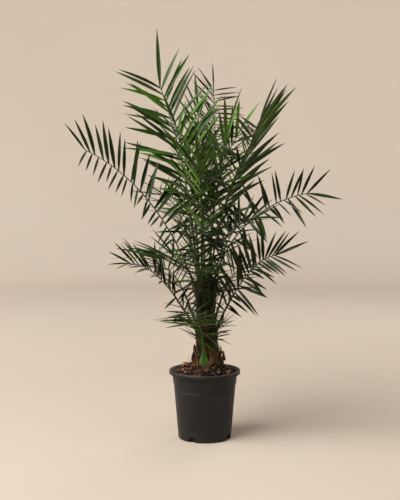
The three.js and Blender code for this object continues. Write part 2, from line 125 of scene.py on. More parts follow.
FRONDS = [
    ("top_left", .480, 210, 82, .163, 158, 1.184, 70, .200, 23, dict(swing=8, bow=(.5, .36),
     bare=.3, open=(66, 38), vee=14, roll=-75, tilt=8, end=86, tip=1.12, tone=2)),
    ("left", .450, 172, 74, .402, 198, .960, 22, .124, 22, dict(swing=12, bow=(.34, .36),
     open=(94, 60), vee=20, roll=-75, skew=17, lean=.22, broad=1.12, end=52)),
    ("right", .440, 350, 86, .348, 342, .822, 8, .130, 19, dict(swing=6, bow=(.5, .25),
     open=(100, 44), vee=26, roll=80, broad=1.14, end=-7)),
    ("upper_right", .465, 308, 84, .280, 306, 1.024, 34, .212, 26, dict(swing=-22, bow=(.52, .3),
     bare=.28, open=(56, 31), vee=10, roll=18, twist=22, skew=-7, tilt=-60, end=42, tip=1.1,
     tone=2)),
    ("top_back", .492, 62, 78, .128, 76, 1.188, 100, .119, 26, dict(bow=(.5, .35), bare=.50,
     open=(72, 56), vee=10, roll=20, skew=-24, lean=-.07, broad=.72, tip=.85, girth=.85)),
    ("low_right", .345, 355, 64, .262, 330, .625, 10, .134, 20, dict(swing=10, bow=(.34, .26),
     open=(66, 37), vee=26, roll=90, skew=-28, cross=30, lean=-.08, broad=1.05, end=24, tone=0)),
    ("low_left", .350, 190, 55, .272, 206, .597, 4, .122, 19, dict(swing=20, bow=(.38, .38),
     open=(76, 26), vee=25, roll=-45, broad=.95, tip=.85, tone=0)),
    ("front_left", .375, 228, 82, .240, 232, .616, -4, .174, 20, dict(swing=-30, bow=(.48, .35),
     open=(98, 34), vee=24, broad=.72, tilt=30, end=6, tone=2)),
    ("foot_front", .268, 254, 70, .150, 250, .448, 20, .140, 22, dict(swing=-24, bow=(.34, .3),
     bare=.24, open=(88, 75), vee=4, roll=6, skew=32, cross=-67, lean=.12, broad=.9, tilt=20,
     end=20, girth=1.25, sheath=.9, tone=2)),
    ("spear", .530, 332, 86, .086, 332, 1.020, 75, .180, 5, dict(bare=.70, open=(42, 16), vee=10,
     girth=.85, tone=4)),
    ("front_right", .395, 331, 80, .215, 318, .742, 6, .130, 17, dict(bow=(.46, .34), open=(84, 34),
     roll=40, tone=0)),
    ("front", .385, 276, 84, .215, 262, .700, 0, .135, 17, dict(swing=30, bow=(.48, .35), roll=-30,
     tone=0)),
    ("back", .450, 90, 80, .320, 98, .930, 5, .150, 16, dict()),
    ("back_left", .430, 130, 78, .320, 122, .820, 0, .150, 15, dict(roll=-15)),
    ("back_right", .430, 44, 78, .300, 62, .720, -4, .145, 15, dict(roll=15)),
    ("low_back", .360, 95, 66, .300, 92, .600, -6, .130, 12, dict(tone=0)),
    ("low_back_left", .335, 140, 62, .260, 130, .560, -6, .125, 15, dict(roll=-10, tone=0)),
    ("low_back_right", .345, 48, 66, .230, 50, .560, 0, .125, 13, dict(roll=20, tone=0)),
    ("low_front_right", .325, 315, 76, .100, 300, .500, 15, .098, 15, dict(open=(64, 34), roll=10,
     tone=0)),
    ("foot_right", .300, 318, 84, .070, 318, .388, 50, .076, 13, dict(bare=.15, open=(100, 44),
     vee=4, broad=.8, tone=0)),
    ("inner_left", .508, 165, 86, .095, 175, 1.040, 70, .150, 19, dict(bare=.3, open=(50, 26),
     vee=20, roll=-60, girth=.85, tone=3)),
    ("inner_right", .500, 10, 86, .112, 352, 1.020, 58, .150, 20, dict(bare=.3, open=(54, 30),
     vee=18, roll=66, skew=-6, girth=.85, tone=3)),
    ("inner_back", .515, 118, 87, .070, 110, 1.110, 76, .150, 19, dict(bare=.3, open=(48, 24),
     vee=20, girth=.85, tone=2)),
    ("inner_front", .500, 250, 87, .095, 258, .920, 62, .150, 18, dict(bare=.25, open=(52, 26),
     vee=20, girth=.85, tone=3)),
]

# ---------- Small sums ----------

UP = Vector((0, 0, 1))


def mix(a, b, share):
    return a + (b - a) * share


def heading(turn, rise=0):
    flat = cos(radians(rise))
    return Vector((flat * cos(radians(turn)), flat * sin(radians(turn)), sin(radians(rise))))


def turned(a, b, angle):
    """cos(angle) * a + sin(angle) * b"""
    return a * cos(radians(angle)) + b * sin(radians(angle))


def square_to(direction, axis):
    """The part of a direction that is square to another."""
    return (direction - axis * direction.dot(axis)).normalized()


def chance(seed, count):
    """A number from -0.5 to 0.5 that belongs to a seed and a count, as in the part's source."""
    n = (seed * 374761393 + count * 668265263) & 0xFFFFFFFF
    n = ((n ^ (n >> 13)) * 1274126177) & 0xFFFFFFFF
    return ((n ^ (n >> 16)) & 0xFFFF) / 65536 - .5


def wall_radius(height):
    """Radius of the pot's outer wall at a height."""
    step = mix(POT.foot, POT.collar, POT.step / POT.height)
    if height > POT.step:
        return mix(step, POT.collar, (height - POT.step) / (POT.height - POT.step))
    return mix(POT.foot, step - POT.step_in, height / POT.step)


def stem_share(height):
    return (height - STEM.foot) / (STEM.top - STEM.foot)


def stem_radius(height):
    share = stem_share(height)
    flare = STEM.flare * exp(-STEM.flare_fade * share)
    return mix(STEM.foot_radius, STEM.top_radius, share) + flare


def stem_centre(height):
    return Vector((mix(STEM.foot_offset, STEM.top_offset, stem_share(height)), 0, height))


def on_stem(turn, height, proud=0.0):
    """The point of the stem's surface at a turn and a height, some distance proud of it."""
    return stem_centre(height) + heading(turn) * (stem_radius(height) + proud)


# ---------- Mesh making ----------


def with_values(thing, **values):
    for key, value in values.items():
        setattr(thing, key, value)
    return thing


class Heap:
    """Corners and faces gathered from many shapes, to become one mesh."""

    def __init__(self):
        self.corners, self.faces, self.slots, self.maps, self.size = [], [], [], [], 0

    def add(self, corners, faces, slots=0, uv=None):
        corners = np.asarray(corners, float).reshape(-1, 3)
        start = self.size
        self.corners.append(corners)
        self.faces.extend([start + i for i in face] for face in faces)
        self.slots.extend([slots] * len(faces) if isinstance(slots, int) else slots)
        self.maps.append(np.zeros((len(corners), 2)) if uv is None else np.asarray(uv, float))
        self.size += len(corners)


def grid_faces(rows, columns, closed=True):
    """Quads between rows of corners; a closed row joins its last column to its first."""
    last = columns if closed else columns - 1
    return [
        (i * columns + j, i * columns + (j + 1) % columns,
         (i + 1) * columns + (j + 1) % columns, (i + 1) * columns + j)
        for i in range(rows - 1) for j in range(last)
    ]


def add_rod(heap, rows, columns, corner, slots=0, uv=None):
    """A closed rod through rings of corners, anticlockwise as seen from the rod's far end.

    corner gives a point from the number of its ring and its number in the ring.
    """
    faces = grid_faces(rows, columns)
    faces.append(tuple(reversed(range(columns))))
    faces.append(tuple(range((rows - 1) * columns, rows * columns)))
    heap.add([[corner(i, j) for j in range(columns)] for i in range(rows)], faces, slots, uv)


def add_lathe(heap, outline, segments, shift=None):
    """A turned solid. The outline runs from the axis underneath, out and up, back to the axis."""
    angles = np.arange(segments) * 2 * pi / segments
    inner = outline[1:-1]
    rings = np.array([[(r * cos(a), r * sin(a), z) for a in angles] for r, z in inner])
    if shift is not None:
        rings = shift(rings)
    rows = len(inner)
    ends = [(0, 0, outline[0][1]), (0, 0, outline[-1][1])]
    low, high = rows * segments, rows * segments + 1
    top = (rows - 1) * segments
    faces = grid_faces(rows, segments)
    faces += [(low, (j + 1) % segments, j) for j in range(segments)]
    faces += [(high, top + j, top + (j + 1) % segments) for j in range(segments)]
    heap.add(np.concatenate([rings.reshape(-1, 3), ends]), faces)


def add_plate(heap, rows, columns, pair, slots=0):
    """A closed plate whose grain map runs across it and along it.

    pair gives its outer and its inner point from the share along it (0 to 1), the share across it
    (-1 to 1), and the numbers of its row and its column.
    """
    pairs = np.array([[pair(i / (rows - 1), 2 * j / (columns - 1) - 1, i, j)
                       for j in range(columns)] for i in range(rows)])
    half = rows * columns
    front = grid_faces(rows, columns, closed=False)
    back = [tuple(half + i for i in reversed(face)) for face in front]
    rim = list(range(columns))
    rim += [i * columns + columns - 1 for i in range(1, rows)]
    rim += [half - 1 - i for i in range(1, columns)]
    rim += [i * columns for i in range(rows - 2, 0, -1)]
    sides = [(b, a, half + a, half + b) for a, b in zip(rim, rim[1:] + rim[:1])]
    uv = [(j / (columns - 1), i / (rows - 1)) for i in range(rows) for j in range(columns)] * 2
    corners = np.concatenate([pairs[:, :, 0].reshape(-1, 3), pairs[:, :, 1].reshape(-1, 3)])
    heap.add(corners, front + back + sides, slots, uv)


def new_mesh(name, heap):
    mesh = bpy.data.meshes.new(name)
    mesh.from_pydata(np.concatenate(heap.corners).tolist(), [], heap.faces)
    return mesh


def new_object(name, data):
    thing = bpy.data.objects.new(name, data)
    bpy.context.collection.objects.link(thing)
    return thing


def make_piece(name, heap, materials, slot, replaced=(), crease=40):
    """One named object from a heap, riding on the body and standing for some CAD nodes."""
    mesh = new_mesh(name, heap)
    for material in materials:
        mesh.materials.append(material)
    mesh.polygons.foreach_set("material_index", heap.slots)
    corner_of = np.empty(len(mesh.loops), np.int32)
    mesh.loops.foreach_get("vertex_index", corner_of)
    layer = mesh.uv_layers.new(name="grain")
    layer.data.foreach_set("uv", np.concatenate(heap.maps)[corner_of].ravel())
    mesh.shade_smooth()
    mesh.set_sharp_from_angle(angle=radians(crease))
    piece = new_object(name, mesh)
    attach(piece, BODY)
    if replaced:
        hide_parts(*replaced)
    return piece


def grow_piece(name, grow, *settings):
    heap = Heap()
    grow(heap)
    make_piece(name, heap, *settings)


# ---------- Colours ----------
# As they look on a screen, from 0 to 255

# A leaflet's face and back, from the shaded feet of old fronds to the newest leaf
GREENS = (
    ("shade", (9, 17, 4), (20, 29, 12)),
    ("deep", (16, 29, 6), (30, 42, 18)),
    ("green", (29, 50, 10), (44, 58, 25)),
    ("fresh", (50, 82, 15), (64, 86, 34)),
    ("young", (66, 102, 22), (78, 104, 42)),
)
DRY_TIP = (96, 80, 44)
SPINE_GREENS = (("spine", (22, 36, 12)), ("spine_back", (38, 50, 26)))
WEED_GREENS = (("weed", (32, 60, 20)), ("weed_back", (52, 78, 38)))

# The two tones that each of these is streaked with, the darker first
RIB = ("rib", (27, 42, 13), (58, 74, 27))
LEAF_BASES = (
    ("green_leaf_base", (26, 54, 5), (82, 116, 16)),
    ("old_leaf_base", (34, 34, 18), (74, 66, 38)),
)
HUSKS = (
    ("husk_red", (56, 32, 18), (140, 90, 50)),
    ("husk_brown", (36, 27, 16), (112, 82, 48)),
    # The near black fibre is a dark tone on some lower husks, and painted shade on the upper husks
    # under the crown.
    ("husk_dark_and_painted_shade", (12, 14, 7), (34, 35, 17)),
)
BARKS = (
    ("bark_dark", (5, 4, 3), (16, 12, 8)),
    ("bark_brown", (24, 16, 10), (68, 46, 30)),
    ("bark_red", (64, 37, 23), (126, 78, 50)),
    ("bark_tan", (96, 68, 46), (150, 112, 80)),
    ("bark_pale", (170, 146, 118), (214, 192, 164)),
)
# The last colour is a painted highlight for the rim's top.
PLASTIC = Values(base=(15, 14, 12), dull=(23, 22, 20), dust=(84, 77, 66), worn=(70, 69, 66))
PLASTER = Values(
    # The near colours are darker as painted shade, against the lamps' stronger light near the plant.
    pale=((180, 169, 156), (221, 211, 199)),  # near the plant and far from it
    soft=((174, 162, 148), (213, 202, 189)),
    # Painted shade for the floor on the key light's side, against the key's pool of light.
    by_key=(142, 134, 124),
)
LEAF_GLOSS = (.80, 1, .58, 1)  # the tint of a leaf's sheen

# ---------- Materials ----------


def add_node(tree, kind, inputs=None, **settings):
    """A shader node with its settings, and its inputs given as numbers or as sockets to link."""
    node = with_values(tree.nodes.new("ShaderNode" + kind), **settings)
    for key, value in (inputs or {}).items():
        if isinstance(value, bpy.types.NodeSocket):
            tree.links.new(value, node.inputs[key])
        else:
            node.inputs[key].default_value = value
    return node


def colour(levels, factor=1):
    """The linear colour that a shader takes, from screen levels, times a factor."""
    def linear(level):
        level /= 255
        return level / 12.92 if level <= .04045 else ((level + .055) / 1.055) ** 2.4
    return tuple(linear(level) * factor for level in levels) + (1,)


def new_material(name, roughness, gloss, **values):
    """A material with its tree and shader; values go on the shader's own sockets."""
    material = bpy.data.materials.new(name)
    material.use_nodes = True
    shader = material.node_tree.nodes["Principled BSDF"]
    shader.inputs["Roughness"].default_value = roughness
    shader.inputs["Specular IOR Level"].default_value = gloss
    for key, value in values.items():
        shader.inputs[key.replace("_", " ")].default_value = value
    return material, material.node_tree, shader


def place_on(tree, grain=False):
    """The object's own coordinates, or its grain map's."""
    if grain:
        return add_node(tree, "UVMap", uv_map="grain").outputs["UV"]
    return add_node(tree, "TexCoord").outputs["Object"]


def along_axis(tree, place, axis):
    return add_node(tree, "SeparateXYZ", {0: place}).outputs[axis]


def pattern(tree, scale, detail=3, stretch=(1, 1, 1), grain=False, roughness=.5):
    """A noise factor over the object's own coordinates or its grain map, stretched by axis."""
    place = add_node(tree, "Mapping", {"Vector": place_on(tree, grain), "Scale": stretch})
    return add_node(tree, "TexNoise", {"Vector": place.outputs["Vector"], "Scale": scale,
                                       "Detail": detail, "Roughness": roughness}).outputs[0]


def spread(tree, factor, low, high, first=0.0, last=1.0):
    """A factor stretched so that low becomes first and high becomes last."""
    return add_node(tree, "MapRange", {0: factor, 1: low, 2: high, 3: first, 4: last}).outputs[0]


def sum_of(tree, operation, a, b=0.0):
    return add_node(tree, "Math", {0: a, 1: b}, operation=operation).outputs[0]


def blend(tree, factor, first, second):
    """A colour from first, where the factor is 0, to second, where it is 1."""
    return add_node(tree, "Mix", {0: factor, 6: first, 7: second}, data_type="RGBA").outputs[2]


def finished(parts, tone, relief, strength, distance):
    """The material, with its colour and its relief linked up."""
    material, tree, shader = parts
    tree.links.new(tone, shader.inputs["Base Color"])
    bump = add_node(tree, "Bump", {"Height": relief, "Strength": strength, "Distance": distance})
    tree.links.new(bump.outputs["Normal"], shader.inputs["Normal"])
    return material


def leaf_material(name, tint, roughness=.34, gloss=.27):
    """A leaflet's face: fine veins along it, and a slow change of depth in its green."""
    parts = new_material(name, roughness, gloss, Specular_Tint=LEAF_GLOSS)
    tree = parts[1]
    veins = pattern(tree, 1, 2, (26, 1.4, 1), grain=True)
    cloud = pattern(tree, 9, 2)
    tone = blend(tree, spread(tree, veins, .3, .7), colour(tint, .82), colour(tint, 1.15))
    tone = blend(tree, spread(tree, cloud, .35, .65), tone, colour(tint, 1.1))
    return finished(parts, tone, veins, .25, .0004)


def fibre_material(name, dark, light, scale=60, stretch=(1, 1, .12), roughness=.85, relief=.0015):
    """Dry plant fibre: streaks between two browns, along the height."""
    parts = new_material(name, roughness, .25)
    tree = parts[1]
    streaks = pattern(tree, scale, 5, stretch, roughness=.65)
    patches = pattern(tree, 22, 3)
    tone = blend(tree, spread(tree, streaks, .32, .68), colour(dark), colour(light))
    tone = blend(tree, spread(tree, patches, .4, .75), tone, colour(dark, .7))
    return finished(parts, tone, streaks, .6, relief)


def sheath_material(name, dark, light):
    """A stalk's foot: a dark stripe down its middle, paler edges, and fibres along it."""
    parts = new_material(name, .6, .2)
    tree = parts[1]
    fibres = pattern(tree, 1, 4, (30, 2.2, 1), grain=True)
    off_middle = sum_of(tree, "SUBTRACT", along_axis(tree, place_on(tree, grain=True), "X"), .5)
    aside = sum_of(tree, "ABSOLUTE", off_middle)
    tone = blend(tree, spread(tree, aside, .06, .46), colour(dark), colour(light))
    tone = blend(tree, spread(tree, fibres, .35, .75), tone, colour(dark, 1.3))
    return finished(parts, tone, fibres, .4, .0006)


def bark_material(name, dark, light):
    """A chip of composted bark, with grain between its dark and its light tone."""
    parts = new_material(name, .8, .3)
    tree = parts[1]
    grain = pattern(tree, 320, 4, (1, .35, 1), roughness=.6)
    tone = blend(tree, spread(tree, grain, .3, .7), colour(dark), colour(light))
    return finished(parts, tone, grain, .5, .0008)


def pot_material():
    """Moulded plastic: near black and matt, with fine grain, flow marks, dust, and a painted
    highlight on the rim's top.
    """
    parts = new_material("pot_plastic", .5, .32)
    tree, shader = parts[1:]
    flow = pattern(tree, 14, 3, (1, 1, 5))
    tone = blend(tree, spread(tree, flow, .35, .7), colour(PLASTIC.base), colour(PLASTIC.dull))
    height = along_axis(tree, place_on(tree), "Z")
    foot = spread(tree, height, .045, 0.0, 0.0, .30)
    specks = spread(tree, pattern(tree, 90, 4, roughness=.7), .48, .72)
    tone = blend(tree, sum_of(tree, "MULTIPLY", foot, specks), tone, colour(PLASTIC.dust))
    # Painted highlight: the rim's top is paler.
    rim = spread(tree, height, .2235, .2290, 0.0, .34)
    tone = blend(tree, rim, tone, colour(PLASTIC.worn))
    tree.links.new(spread(tree, flow, .3, .7, .44, .60), shader.inputs["Roughness"])
    return finished(parts, tone, pattern(tree, 1400, 2), .3, .0002)


def stage_material():
    """Pale plaster, with painted shade round the plant and under the key light, against the lamps'
    stronger light there.
    """
    material, tree, shader = new_material("studio_plaster", .9, .1)
    cloud = pattern(tree, .9, 4)
    place = place_on(tree)
    reach = add_node(tree, "VectorMath", {0: place}, operation="LENGTH").outputs["Value"]
    # Painted shade: darker near the plant, paler far from it.
    far = spread(tree, reach, 1.2, 5.6)
    pale, soft = (blend(tree, far, *map(colour, tones)) for tones in (PLASTER.pale, PLASTER.soft))
    tone = blend(tree, cloud, soft, pale)
    # Painted shade under the key light.
    by_key = spread(tree, along_axis(tree, place, "Y"), -1.1, -3.6)
    tree.links.new(blend(tree, by_key, tone, colour(PLASTER.by_key)), shader.inputs["Base Color"])
    return material


# ---------- Ribs ----------


class Frond:
    """One frond of the rule: its rib's curve, and the directions and thickness along it."""

    def __init__(self, index, row):
        self.__dict__.update(dict(zip(COLUMNS, row)) | USUAL | row[-1])
        self.seed = 11 + index
        start = stem_centre(self.foot) + heading(self.out) * (stem_radius(self.foot) * .75)
        tip = heading(self.way) * self.reach
        tip.z = self.height
        span = (tip - start).length
        leave = start + heading(self.out, self.lift) * (self.bow[0] * span)
        arrive = tip - heading(self.way + self.swing, self.fall) * (self.bow[1] * span)
        self.curve = (start, leave, arrive, tip)

    def point(self, t):
        a, b, c, d = self.curve
        s = 1 - t
        return a * s ** 3 + b * (3 * s * s * t) + c * (3 * s * t * t) + d * t ** 3

    def tangent(self, t):
        a, b, c, d = self.curve
        s = 1 - t
        return ((b - a) * s * s + (c - b) * (2 * s * t) + (d - c) * t * t).normalized()

    def blade_share(self, t):
        return max(0, (t - self.bare) / (1 - self.bare))

    def directions(self, t):
        """On along the rib, to its left, and up out of its face."""
        on = self.tangent(t)
        flat = square_to(UP.cross(heading(self.way + self.swing * t)), on)
        face = on.cross(flat)
        roll = self.roll + self.twist * self.blade_share(t)
        return on, turned(flat, face, roll), turned(face, flat, -roll)

    def radius(self, t):
        neck = STALK.neck_at
        if t < neck:
            return mix(STALK.foot, STALK.neck, t / neck) * self.girth
        if t < self.bare:
            return mix(STALK.neck, STALK.blade, (t - neck) / (self.bare - neck)) * self.girth
        return mix(STALK.blade * self.girth, STALK.tip, self.blade_share(t))

    def width(self, t):
        """The stalk's half width, which is more than its radius where it clasps the stem."""
        return self.radius(t) * (1 + self.sheath * max(0, 1 - t / STALK.neck_at))

    def length(self, steps=40):
        points = [self.point(i / steps) for i in range(steps + 1)]
        return sum((b - a).length for a, b in zip(points, points[1:]))

    def leaflet_length(self, share):
        rise = min(1, LEAFLET.at_stalk + LEAFLET.rise * share)
        return self.leaf * rise * (1 - LEAFLET.fall_off * share * share)


def add_rib(heap, frond):
    """The rib: round underneath, flatter on top, and broad where it clasps the stem."""
    ring_size, step = 10, .010
    rows = int(frond.length() / step)

    def corner(i, j):
        t, angle = i / rows, 2 * pi * j / ring_size
        on, left, out = frond.directions(t)
        high = frond.radius(t) * (.62 if sin(angle) > 0 else .9)
        return frond.point(t) + left * (frond.width(t) * cos(angle)) + out * (high * sin(angle))

    uv = [(j / ring_size, i * step) for i in range(rows + 1) for j in range(ring_size)]
    add_rod(heap, rows + 1, ring_size, corner, uv=uv)


# ---------- Leaflets ----------

STATIONS = np.array([0, .03, .08, .16, .26, .38, .50, .61, .72, .82, .91, .97])
LAST_GREEN = len(STATIONS) - 3  # the rows after it can be a dry tip

FACE, BACK, DRY = 0, 1, 2  # a leaflet's material slots


def leaflet_outline(share):
    """Half width along a leaflet: a narrow foot, broadest at a third, and a long fine point."""
    rising = .30 + .70 * np.sin(np.clip(share / LEAFLET.widest, 0, 1) * pi / 2)
    past = np.clip((share - LEAFLET.widest) / (1 - LEAFLET.widest), 0, 1)
    return rising * (1 - past ** 1.9)


def add_leaflet(heap, root, direction, across, face, length, width, shape):
    """A folded blade of six strips. shape holds number, bend, curl, twist, fold, thick and dry."""
    if across.cross(direction).dot(face) < 0:
        across = -across
    face = across.cross(direction).normalized()
    share = STATIONS[:, None]
    sag = square_to(-UP, direction) if abs(direction.z) < .98 else Vector((0, 0, 0))
    vectors = root, direction, across, face, sag
    root, direction, across, face, sag = (np.array(vector)[None, :] for vector in vectors)
    centre = root + direction * length * share
    centre = centre + (sag * shape.bend + across * shape.curl) * length * share ** 2
    angle = shape.twist * share
    side = across * np.cos(angle) + face * np.sin(angle)
    up = face * np.cos(angle) - across * np.sin(angle)
    half = width / 2 * leaflet_outline(share)
    fold = shape.fold * (1 - .5 * share)
    out, rise = half * np.cos(fold), half * np.sin(fold)
    thick = shape.thick * (1 - .6 * share)
    ring = [
        centre - side * out + up * rise,
        centre - side * out * .5 + up * (rise * .42 + thick * .45),
        centre + up * thick * .3,
        centre + side * out * .5 + up * (rise * .42 + thick * .45),
        centre + side * out + up * rise,
        centre - up * thick,
    ]
    rows, columns = len(STATIONS), len(ring)
    corners = np.stack(ring, axis=1).reshape(-1, 3)
    tip = root + direction * length + (sag * shape.bend + across * shape.curl) * length
    faces = grid_faces(rows, columns)
    slots = [(BACK if i % columns > 3 else FACE) for i in range(len(faces))]
    if shape.dry:
        slots[LAST_GREEN * columns:] = [DRY] * (len(faces) - LAST_GREEN * columns)
    top = (rows - 1) * columns
    faces += [(top + j, top + (j + 1) % columns, rows * columns) for j in range(columns)]
    slots += [DRY] * columns if shape.dry else [FACE] * 4 + [BACK] * 2
    faces.append(tuple(reversed(range(columns))))
    slots.append(BACK)
    own = shape.number * 3.7  # its own stretch of the grain map
    uv = [(own + u, v) for v in STATIONS for u in (0, .25, .5, .75, 1, .5)] + [(own + .5, 1)]
    heap.add(np.concatenate([corners, tip]), faces, slots, uv)


def clear_of_pot_and_stem(root, tip):
    """Whether a leaflet stays above the pot and off the stem."""
    for i in range(9):
        point = root.lerp(tip, i / 8)
        over_pot = hypot(point.x, point.y) < POT.rim + ROOM.beside_rim
        if point.z < POT.height + (ROOM.over_rim if over_pot else 0):
            return False
        near_stem = stem_radius(point.z) + ROOM.stem
        if point.z < STEM.top and (point - stem_centre(point.z)).length < near_stem:
            return i < 2  # its own foot may be at the stem
    return True


def draws(seed, k, side):
    """A leaflet's own draws: a function from a draw's number to a number from -0.5 to 0.5."""
    return lambda n: chance(seed, k * 16 + (8 if side > 0 else 0) + n)


# How a leaflet's blade strays from a plain one, each with the draw's share
HABIT = Values(
    bend=.05, droop=.25, droop_from=.12,  # sag, and how much more of it the longest have
    curl=.05, twist=.5, fold=.42, fold_stray=.25,
    foot_sunk=.6,                         # how deep its foot lies in the rib
    dry_from=.44, greener=.22, darker=-.26,  # draws past which it has a dry tip or the next green
)


def grow_leaflet(heaps, frond, place, direction, beside, length, tilt, sunk, draw, number):
    """One leaflet of the rule, dealt to the heap of its green."""
    out = frond.directions(min(.999, place))[2]
    flat = square_to(beside, direction)
    across = turned(flat, direction.cross(flat), tilt)
    face = direction.cross(across)
    if face.dot(out) < 0:
        face = -face
    root = frond.point(place) - direction * (HABIT.foot_sunk * sunk)
    if not clear_of_pot_and_stem(root, root + direction * length):
        return
    width = min(max(LEAFLET.width * length, LEAFLET.narrowest), LEAFLET.broadest) * frond.broad
    shape = Values(
        number=number,
        bend=HABIT.bend + HABIT.bend * draw(5) + HABIT.droop * max(0, length - HABIT.droop_from),
        curl=HABIT.curl * draw(6),
        twist=HABIT.twist * draw(7),
        fold=HABIT.fold + HABIT.fold_stray * draw(8),
        thick=LEAFLET.thick,
        dry=draw(9) > HABIT.dry_from,
    )
    tone = frond.tone + (draw(10) > HABIT.greener) - (draw(10) < HABIT.darker)
    heap = heaps[min(max(tone, 0), len(GREENS) - 1)]
    add_leaflet(heap, root, direction, across, face, length, width, shape)


def grow_leaflets(heaps, frond):
    """Every pair of the rule, and the last leaflet, which carries the rib on to a point."""
    for k in range(frond.pairs):
        for side in (1, -1):
            shared, own = draws(frond.seed, k, side), draws(frond.seed + 100, k, side)

            def draw(n):
                return shared(n) if n < 5 else own(n)  # the part's source makes the first five too

            place = k + .5 + LEAFLET.stagger * side + STRAY.place * draw(0)
            share = min(.99, place / frond.pairs)
            loose = 1 + STRAY.more_at_stalk * (1 - share)
            t = mix(frond.bare, 1, share)
            on, left, out = frond.directions(t)
            skew = side * (frond.skew + frond.cross * share)
            angle = mix(*frond.open, share ** LEAFLET.closing) + skew + STRAY.open * loose * draw(1)
            sideways = turned(left * side, out, frond.vee + STRAY.vee * loose * draw(2))
            direction = turned(on, sideways, angle).normalized()
            length = frond.leaflet_length(share) * (1 - side * frond.lean)
            length *= 1 + STRAY.length * draw(3)
            tilt = side * frond.tilt + STRAY.tilt * draw(4)
            number = frond.seed * 100 + k * 2 + (side > 0)
            radius = frond.radius(t)
            grow_leaflet(heaps, frond, t, direction, on, length, tilt, radius, draw, number)
    slope = frond.fall if frond.end is None else frond.end
    direction = heading(frond.way + frond.swing, slope)
    length = frond.leaflet_length(1) * 1.1 * frond.tip
    left = frond.directions(1)[1]
    grow_leaflet(heaps, frond, 1, direction, left, length, 0, STALK.tip * 2,
                 draws(frond.seed + 200, 0, -1), frond.seed * 100 + 99)


SPINE = Values(step=.024, short=.018, first=.30, thin=.0024, broad=.008, thick=.0012,
               open=(62, 55), vee=20, more_vee=40, more_open=24, more_length=.35)


def grow_spines(heap, frond):
    """The stiff lowest leaflets, which shorten to spines down the stalk."""
    stalk = frond.length() * (frond.bare - SPINE.first)
    count = int(stalk / SPINE.step)
    longest = frond.leaflet_length(0) * .95
    for k in range(count):
        for side in (1, -1):
            draw = draws(frond.seed + 300, k, side)
            share = (k + .5 + .6 * draw(0)) / count
            t = mix(SPINE.first, frond.bare, share)
            on, left, out = frond.directions(t)
            sideways = turned(left * side, out, SPINE.vee + SPINE.more_vee * draw(1))
            angle = mix(*SPINE.open, share) + SPINE.more_open * draw(2)
            direction = turned(on, sideways, angle).normalized()
            length = mix(SPINE.short, longest, share ** 1.7) * (1 + SPINE.more_length * draw(3))
            root = frond.point(t) - direction * (.5 * frond.radius(t))
            if not clear_of_pot_and_stem(root, root + direction * length):
                continue
            shape = Values(number=k, bend=.02, curl=.06 * draw(4), twist=.6 * draw(5), fold=.7,
                           thick=SPINE.thick, dry=share < .35)
            width = mix(SPINE.thin, SPINE.broad, share)
            add_leaflet(heap, root, direction, square_to(on, direction), out, length, width, shape)


# ---------- Stem ----------

# The fibre mat of the stem's body: its mesh, and the height of its lumps and threads
MAT = Values(rows=110, columns=120, lump=.0022, thread=.0006)


def add_stem_core(heap):
    """The stem's body under its husks, with the relief of a fibre mat."""
    def corner(i, j):
        height = mix(COMPOST.crown - .004, STEM.top, i / (MAT.rows - 1))
        turn = 360 * j / MAT.columns
        way = heading(turn)
        mat = noise.noise(Vector((way.x * 9, way.y * 9, height * 30)))
        threads = sin(radians(turn * 26) + height * 420) + sin(radians(turn * 31) - height * 380)
        place = on_stem(turn, max(height, STEM.foot), MAT.lump * mat + MAT.thread * threads)
        return place + UP * min(0, height - STEM.foot)

    add_rod(heap, MAT.rows, MAT.columns, corner)


GOLDEN = 137.5  # the turn from one leaf to the next
HUSK = Values(
    count=260, low=.238, high=.484, length=.030, width=.028,
    lean=.12, lean_stray=.24, proud=.001, ragged=.024,
    keel=.0035, ripple=.0024,
    thick=(.0042, .0010),  # at its foot and its upper edge
    # From this share of the height up, the husks take the near black fibre as painted shade under
    # the crown.
    dark_from=.27,       # share of the height from which they are dark
    rows=9, columns=17,
)


def add_husk(heap, turn, height, length, width, lean, proud, ragged, seed, slot=0):
    """An old leaf base: a plate round the stem, keeled in the middle, with a torn upper edge."""
    def pair(up, u, i, j):
        tear = ragged * (.7 * chance(seed, j) + .7 * chance(seed + 1, j // 3)) * up ** 2
        z = height + (length * (1 - .3 * u * u) + tear) * up
        half = width / 2 * (1 - .40 * up ** 1.4) * (1 + .12 * chance(seed + 2, i))
        level = min(max(z, STEM.foot), STEM.top)
        body, radius = stem_centre(level), stem_radius(level)
        around = turn + u * half / radius * 180 / pi
        keel = HUSK.keel * (1 - u * u) * (1 - .5 * up)
        away = proud + lean * up ** 1.8 * length
        ripple = HUSK.ripple * noise.noise(Vector((around * .3, z * 90, seed)))
        place = Vector((body.x, body.y, z))
        outer = radius + away + keel + ripple
        thick = mix(*HUSK.thick, up) * (1 - .55 * abs(u) ** 2)
        return place + heading(around) * outer, place + heading(around) * (outer - thick)

    add_plate(heap, HUSK.rows, HUSK.columns, pair, slot)


GREEN_FOOT = Values(turn=254, room=42, top=.325)  # the green leaf base, where no husks are

# Torn old bases that stand off the stem's foot: turn, height, length, width and lean
TORN = (
    (355, .262, .036, .034, .30), (338, .250, .030, .030, .46), (8, .250, .030, .026, .52),
    (186, .252, .032, .030, .26), (205, .248, .026, .024, .38), (172, .278, .030, .026, .26),
    (318, .258, .034, .028, .22), (296, .262, .036, .026, .16), (60, .256, .034, .032, .32),
    (115, .252, .030, .030, .40), (90, .272, .034, .030, .26),
)


